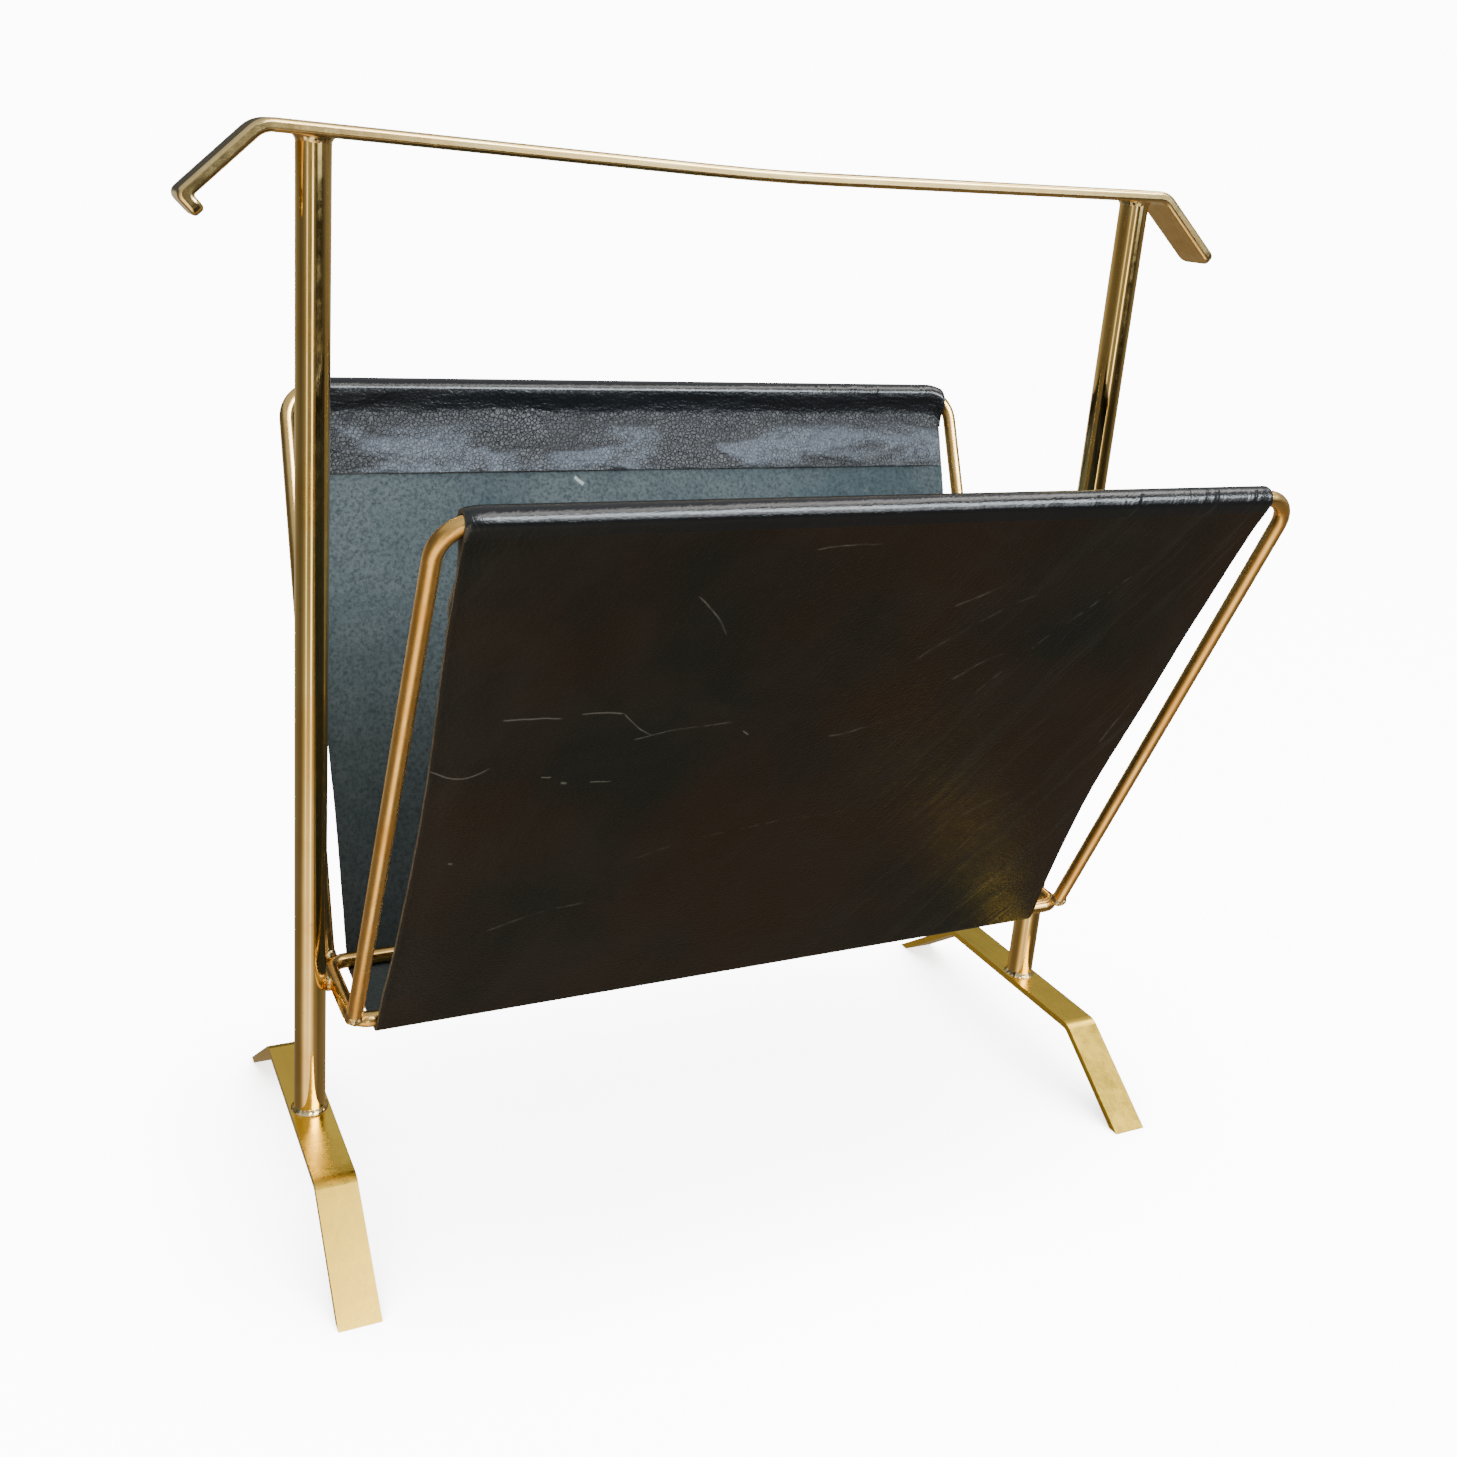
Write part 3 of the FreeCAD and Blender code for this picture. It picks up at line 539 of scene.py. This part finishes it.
def build_sling():
    """The leather sheet: one strip from the front hem, under the ring, to the back hem."""
    rows = whole_path()
    yz = np.array([(row[0], row[1]) for row in rows])
    steps = np.hypot(*np.diff(yz, axis=0).T)
    flat = np.concatenate([[0.0], np.cumsum(steps)])
    normal = path_normals(yz)
    first_floor = [row[3] for row in rows].index(0)
    zones = {}
    for name, side in (("front", -1), ("back", 1)):
        for zone in ("hem", "panel"):
            places = [flat[i] for i, row in enumerate(rows) if row[2] == zone and row[3] == side]
            zones["%s_%s" % (name, zone)] = (min(places) / MM, max(places) / MM)
    outer, inner, uvs = [], [], []
    area = 0.0
    last_width = None
    for i, (y, z, zone, side) in enumerate(rows):
        lean = FRONT_LEAN if side < 0 else BACK_LEAN
        height = (abs(y) - RING_Y) * math.sin(lean) + (z - RING_Z) * math.cos(lean) if side else 0.0
        left, right = row_sides(side, zone, height, (i - first_floor + 1) / FLOOR_STEPS)
        width = right - left
        if last_width is not None:
            area += (width + last_width) / 2 * steps[i - 1]
        last_width = width
        # the sleeve's ends follow the frame's corners, and so does the panel just under them
        near_top = max(0.0, 1 - (SLANT - height) / (70 * MM)) if side else 0.0
        near_top = min(1.0, near_top) ** 2
        if zone in ("sleeve", "tuck"):
            near_top = 1.0
        # the panels' relief dies out towards the rods that hold them
        free = 0.0
        if zone == "panel":
            free = max(0.0, min(1.0, height / (20 * MM), (SLANT - height) / (12 * MM)))
            free = free ** 2 * (3 - 2 * free)
        row_outer, row_inner, row_uv = [], [], []
        for j in range(COLUMNS + 1):
            c = j / COLUMNS
            c -= 0.018 * math.sin(2 * math.pi * c)
            x = left + width * c
            if j in (0, COLUMNS):
                x += noise.noise(Vector((x * 30, flat[i] * 160, 3.0))) * 0.12 * MM
            place = Vector((x * 9, flat[i] * 9, side * 5.0))
            lift = noise.noise(place) * 0.85 * MM + noise.noise(place * 2.9) * 0.34 * MM
            lift += noise.noise(Vector((x * 60 + flat[i] * 25, flat[i] * 14, 8.0))) * 0.14 * MM
            edge = min(c, 1 - c) * width
            curl = 0.9 * MM * math.exp(-(edge / (9 * MM)) ** 2) * free
            offset = free * lift - curl
            if zone == "hem":
                offset = noise.noise(Vector((x * 40, flat[i] * 60, 2.0))) * 0.16 * MM
            beyond = max(0.0, abs(x) - CORNER_START)
            reach = min(beyond / CORNER_RADIUS, 0.8)
            level = math.sqrt(1 - reach * reach)
            py, pz = y, z
            if side:
                # down along the slope, as the rod's corner falls away
                shift = -CORNER_RADIUS * (1 - level) * near_top
                if zone in ("sleeve", "tuck"):
                    shift += (height - SLANT) * (1 / level - 1)
                py += side * math.sin(lean) * shift
                pz += math.cos(lean) * shift
            ny, nz = normal[i]
            row_outer.append((x, py + ny * (LEATHER_HALF + offset), pz + nz * (LEATHER_HALF + offset)))
            row_inner.append((x, py - ny * (LEATHER_HALF - offset), pz - nz * (LEATHER_HALF - offset)))
            row_uv.append((x, flat[i]))
        outer.append(row_outer)
        inner.append(row_inner)
        uvs.append(row_uv)
    finish = [SLOTS.get(row[2], PANEL_SLOT) for row in rows]
    return outer, inner, uvs, finish, zones, area, float(flat[-1])


def turn_faces_out(mesh):
    work = bmesh.new()
    work.from_mesh(mesh)
    bmesh.ops.recalc_face_normals(work, faces=work.faces)
    work.to_mesh(mesh)
    work.free()


def place_piece(name, mesh):
    piece = bpy.data.objects.new(name, mesh)
    bpy.context.scene.collection.objects.link(piece)
    return piece


def sheet_mesh(name, outer, inner, uvs, finish, materials):
    """A closed thin solid; materials follow the slots: panel, inner side, edge, sleeve and hem."""
    count_rows, count_columns = len(outer), len(outer[0])
    mesh = bpy.data.meshes.new(name)
    vertices = [p for row in outer for p in row] + [p for row in inner for p in row]
    half = count_rows * count_columns
    coordinates = [p for row in uvs for p in row] * 2
    faces, kinds = [], []

    def at(i, j):
        return i * count_columns + j

    for i in range(count_rows - 1):
        for j in range(count_columns - 1):
            quad = (at(i, j), at(i, j + 1), at(i + 1, j + 1), at(i + 1, j))
            faces.append(quad)
            kinds.append(finish[i])
            faces.append(tuple(half + k for k in reversed(quad)))
            kinds.append(INNER_SLOT)
    rim = [(i, 0) for i in range(count_rows)]
    rim += [(count_rows - 1, j) for j in range(1, count_columns)]
    rim += [(i, count_columns - 1) for i in range(count_rows - 2, -1, -1)]
    rim += [(0, j) for j in range(count_columns - 2, 0, -1)]
    for k, (i, j) in enumerate(rim):
        ni, nj = rim[(k + 1) % len(rim)]
        faces.append((at(i, j), at(ni, nj), half + at(ni, nj), half + at(i, j)))
        kinds.append(EDGE_SLOT)
    mesh.from_pydata(vertices, [], faces)
    for material in materials:
        mesh.materials.append(material)
    layer = mesh.uv_layers.new(name="sheet")
    for polygon, kind in zip(mesh.polygons, kinds):
        polygon.material_index = kind
        polygon.use_smooth = kind != EDGE_SLOT
        for loop in polygon.loop_indices:
            layer.data[loop].uv = coordinates[mesh.loops[loop].vertex_index]
    turn_faces_out(mesh)
    piece = place_piece(name, mesh)
    bevel = piece.modifiers.new("softened_edge", "BEVEL")
    bevel.width = 0.28 * MM
    bevel.segments = 2
    bevel.limit_method = "ANGLE"
    bevel.angle_limit = math.radians(60)
    return piece


outer, inner, uvs, finish, ZONES, AREA, LENGTH = build_sling()
sling = sheet_mesh("sling_leather", outer, inner, uvs, finish,
                   [grain_leather("leather_panel", ZONES), flesh_leather("leather_flesh", ZONES),
                    cut_edge("leather_edge"), grain_leather("leather_sleeve", ZONES, "sleeve"),
                    grain_leather("leather_hem", ZONES, "hem")])
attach(sling, "root")
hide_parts("leather_sling")


def cement_film(name):
    """Dried contact cement, seen only as a thin dark line under a hem's edge."""
    s = Shader(name)
    place = s.object_place()
    lumps = s.noise(place, 300.0, 4.0, 0.6)
    colour = s.mix(s.spread(lumps, 0.3, 0.7), (0.035, 0.026, 0.018), (0.08, 0.06, 0.04))
    return s.principled(Base_Color=colour, Roughness=0.7, Normal=s.bump(lumps, 0.1 * MM))


for node in ("front_hem_cement", "back_hem_cement"):
    give(node, cement_film(node + "_film"))


# ---------------------------------------------------------------- brazed joints

def bead_piece(mesh, node):
    """Makes a mesh the bead of filler metal that stands for one CAD braze."""
    mesh.materials.append(BRAZE)
    for polygon in mesh.polygons:
        polygon.use_smooth = True
    piece = place_piece(node + "_bead", mesh)
    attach(piece, "root")
    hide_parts(node)


def collar(node, upper, seed):
    """A fillet round a post: concave in section, uneven round its edge."""
    low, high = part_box(node)
    centre = Vector(((low[0] + high[0]) / 2, (low[1] + high[1]) / 2, 0))
    base = high[2] if upper else low[2]
    up = -1 if upper else 1
    outer_side = math.copysign(1.0, centre.x)
    skin, bore = POST_RADIUS - 0.05 * MM, POST_RADIUS - 0.4 * MM
    around, rings = 72, 9

    def base_at(dx):
        """The foot's flat top, or the handle's underside, which slopes towards mid span."""
        return base + (0.06 * MM + GRIP_SLOPE * (POST_RADIUS + outer_side * dx) if upper else 0.0)

    vertices, faces = [], []
    for k in range(around):
        a = 2 * math.pi * k / around
        wave = noise.noise(Vector((math.cos(a) * 1.7, math.sin(a) * 1.7, seed)))
        bead = noise.noise(Vector((math.cos(a) * 5.5, math.sin(a) * 5.5, seed + 4)))
        reach = (1.25 + 0.35 * wave + 0.12 * bead) * MM
        tall = (2.0 + 0.55 * wave + 0.3 * bead) * MM
        section = []
        for r in range(rings):
            t = r / (rings - 1)
            bulge = 0.16 * math.sin(math.pi * t) * (1 + bead) * MM
            section.append((skin + reach * (1 - t) ** 1.7 + bulge, tall * t ** 1.6))
        section += [(bore, tall), (bore, 0.0)]
        for out, rise in section:
            dx, dy = out * math.cos(a), out * math.sin(a)
            vertices.append((centre.x + dx, centre.y + dy, base_at(dx) + up * rise))
    per = rings + 2
    for k in range(around):
        n = (k + 1) % around
        for r in range(per):
            q = (r + 1) % per
            faces.append((k * per + r, n * per + r, n * per + q, k * per + q))
    mesh = bpy.data.meshes.new(node + "_bead")
    mesh.from_pydata(vertices, [], faces)
    turn_faces_out(mesh)
    bead_piece(mesh, node)


def blob(node, seed, squeeze):
    """A small flowed bead between two rods."""
    low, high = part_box(node)
    centre = [(a + b) / 2 for a, b in zip(low, high)]
    half = [(b - a) / 2 * q for a, b, q in zip(low, high, squeeze)]
    work = bmesh.new()
    bmesh.ops.create_icosphere(work, subdivisions=4, radius=1.0)
    for vertex in work.verts:
        direction = vertex.co.normalized()
        rough = 1 + 0.13 * noise.noise(direction * 1.8 + Vector((seed, 0, 0)))
        rough += 0.05 * noise.noise(direction * 5.0 + Vector((seed, 3, 0)))
        vertex.co = Vector((centre[i] + direction[i] * half[i] * rough for i in range(3)))
    mesh = bpy.data.meshes.new(node + "_bead")
    work.to_mesh(mesh)
    work.free()
    bead_piece(mesh, node)


for index, end in enumerate(("left", "right")):
    collar(end + "_post_foot_braze", False, 2.0 + 5 * index)
    collar(end + "_post_handle_braze", True, 12.0 + 5 * index)
    blob(end + "_post_ring_braze", 31.0 + 7 * index, (1.0, 0.95, 0.85))
    for shift, side in enumerate(("front", "back")):
        blob("%s_%s_frame_braze" % (side, end), 51.0 + 7 * index + 3 * shift, (0.97, 0.97, 0.97))


# ---------------------------------------------------------------- studio

def make_cove():
    """A pale round floor that curves up into a backdrop on every side; it glows, dimmed near the object as a
    painted contact shadow.
    """
    mesh = bpy.data.meshes.new("studio_cove")
    floor_radius, curve, top = 2.6, 1.2, 5.0
    wall = floor_radius + curve
    profile = [(0.0, 0.0), (0.6, 0.0), (1.4, 0.0), (floor_radius, 0.0)]
    profile += [(floor_radius + curve * math.sin(a), curve - curve * math.cos(a))
                for a in np.linspace(0.1, math.pi / 2, 14)]
    profile += [(wall, 3.0), (wall, top)]
    around = 96
    vertices = [(0.0, 0.0, 0.0)]
    for radius, height in profile[1:]:
        for k in range(around):
            a = 2 * math.pi * k / around
            vertices.append((radius * math.cos(a), radius * math.sin(a), height))
    faces = [(0, 1 + k, 1 + (k + 1) % around) for k in range(around)]
    for ring in range(len(profile) - 2):
        low, high = 1 + ring * around, 1 + (ring + 1) * around
        for k in range(around):
            n = (k + 1) % around
            faces.append((low + k, high + k, high + n, low + n))
    mesh.from_pydata(vertices, [], faces)
    s = Shader("pale_paper")
    # painted contact shadow: the floor's glow is dimmed where the object closes it in
    openness_for_painted_shadow = s.add("ShaderNodeAmbientOcclusion", {"samples": 8}, {"Distance": 0.14}, 1)
    strength = s.spread(openness_for_painted_shadow, 0.35, 1.0, 2.6, 11.0)
    mesh.materials.append(s.principled(Base_Color=(0.9, 0.9, 0.9), Roughness=0.9, Specular_IOR_Level=0.1,
                                       Emission_Color=(1.0, 1.0, 1.0), Emission_Strength=strength))
    cove = place_piece("studio_cove", mesh)
    cove.visible_diffuse = False
    cove.visible_glossy = False
    cove.visible_shadow = False


def area_light(name, place, target, size, power, colour):
    data = bpy.data.lights.new(name, "AREA")
    data.shape = "RECTANGLE"
    data.size, data.size_y = size
    data.energy = power
    data.color = colour
    lamp = bpy.data.objects.new(name, data)
    lamp.location = place
    lamp.rotation_euler = (Vector(target) - Vector(place)).to_track_quat("-Z", "Y").to_euler()
    lamp.visible_camera = False
    bpy.context.scene.collection.objects.link(lamp)


# brightness of the room by compass direction in degrees, for four heights of view
ROOM_LEVEL = [(-180, 0.13), (-160, 0.20), (-143, 0.4), (-140, 2.2), (-136, 2.2), (-133, 0.35), (-109, 0.28),
              (-105, 5.0), (-102, 5.0), (-98, 0.28), (-80, 0.05), (-50, 0.03), (-30, 0.10), (-10, 0.22),
              (20, 0.26), (50, 0.5), (100, 0.6), (140, 0.22), (180, 0.13)]
ROOM_BELOW = [(-180, 0.22), (-165, 0.45), (-140, 1.95), (-100, 2.1), (-75, 0.45), (-40, 0.16), (20, 0.26),
              (90, 0.28), (150, 0.20), (180, 0.22)]
ROOM_ABOVE = [(-180, 0.12), (-160, 0.25), (-140, 0.6), (-100, 0.5), (-88, 0.12), (-77, 0.15), (-71, 5.5),
              (-52, 5.5), (-48, 0.4), (0, 0.3), (50, 0.10), (130, 0.08), (180, 0.12)]
ROOM_TOP = [(-180, 0.6), (-90, 0.9), (0, 0.7), (90, 0.7), (180, 0.6)]


def make_world():
    """A soft room round the stage, brighter and darker by direction, for the metal to reflect."""
    s = Shader("studio_world", world=True)
    direction = s.add("ShaderNodeTexCoord", out=0)
    split = s.add("ShaderNodeSeparateXYZ", {}, {0: direction}, None)
    angle = s.math("ARCTAN2", split.outputs[1], split.outputs[0])
    turn = s.spread(angle, -math.pi, math.pi)

    def band(levels, tint):
        return s.ramp(turn, [((a + 180) / 360, tuple(e * part for part in tint)) for a, e in levels])

    level = band(ROOM_LEVEL, (1.0, 0.93, 0.74))
    below = band(ROOM_BELOW, (1.0, 0.84, 0.62))
    above = band(ROOM_ABOVE, (0.90, 0.96, 1.0))
    top = band(ROOM_TOP, (0.95, 0.98, 1.0))
    height = split.outputs[2]
    colour = s.mix(s.spread(height, -0.62, -0.22, 1.0, 0.0, True), level, below)
    colour = s.mix(s.spread(height, -0.03, 0.05, smooth=True), colour, above)
    colour = s.mix(s.spread(height, 0.34, 0.62, smooth=True), colour, top)
    room = s.add("ShaderNodeBackground", {}, {"Color": colour, "Strength": 1.0})
    out = s.tree.nodes.new("ShaderNodeOutputWorld")
    s.tree.links.new(room, out.inputs[0])
    bpy.context.scene.world = s.owner


make_cove()
make_world()
MIDDLE = (0.0, 0.0, 0.2)
area_light("key_window", (0.72, -1.45, 1.15), MIDDLE, (1.5, 0.55), 46.0, (0.88, 0.95, 1.0))
area_light("long_overhead", (0.75, -0.68, 1.80), (0.0, -0.06, 0.1), (2.8, 0.55), 27.0, (1.0, 0.98, 0.94))

camera_data = bpy.data.cameras.new("photo_camera")
camera_data.sensor_fit = "HORIZONTAL"
camera_data.sensor_width = 36.0
camera_data.lens = 37.562
camera_data.shift_x = 0.01653
camera_data.shift_y = -0.08013
camera_data.clip_start = 0.01
camera = bpy.data.objects.new("photo_camera", camera_data)
bpy.context.scene.collection.objects.link(camera)
RIGHT = Vector((0.9023527, -0.424239, 0.0760314))
DOWN = Vector((-0.0533663, -0.2850274, -0.9570326))
FORWARD = Vector((0.4276816, 0.8595235, -0.2798353))
facing = Matrix((RIGHT, -DOWN, -FORWARD)).transposed().to_4x4()
camera.matrix_world = Matrix.Translation((-0.27768, -0.51919, 0.39768)) @ facing
bpy.context.scene.camera = camera

bpy.context.view_layer.update()
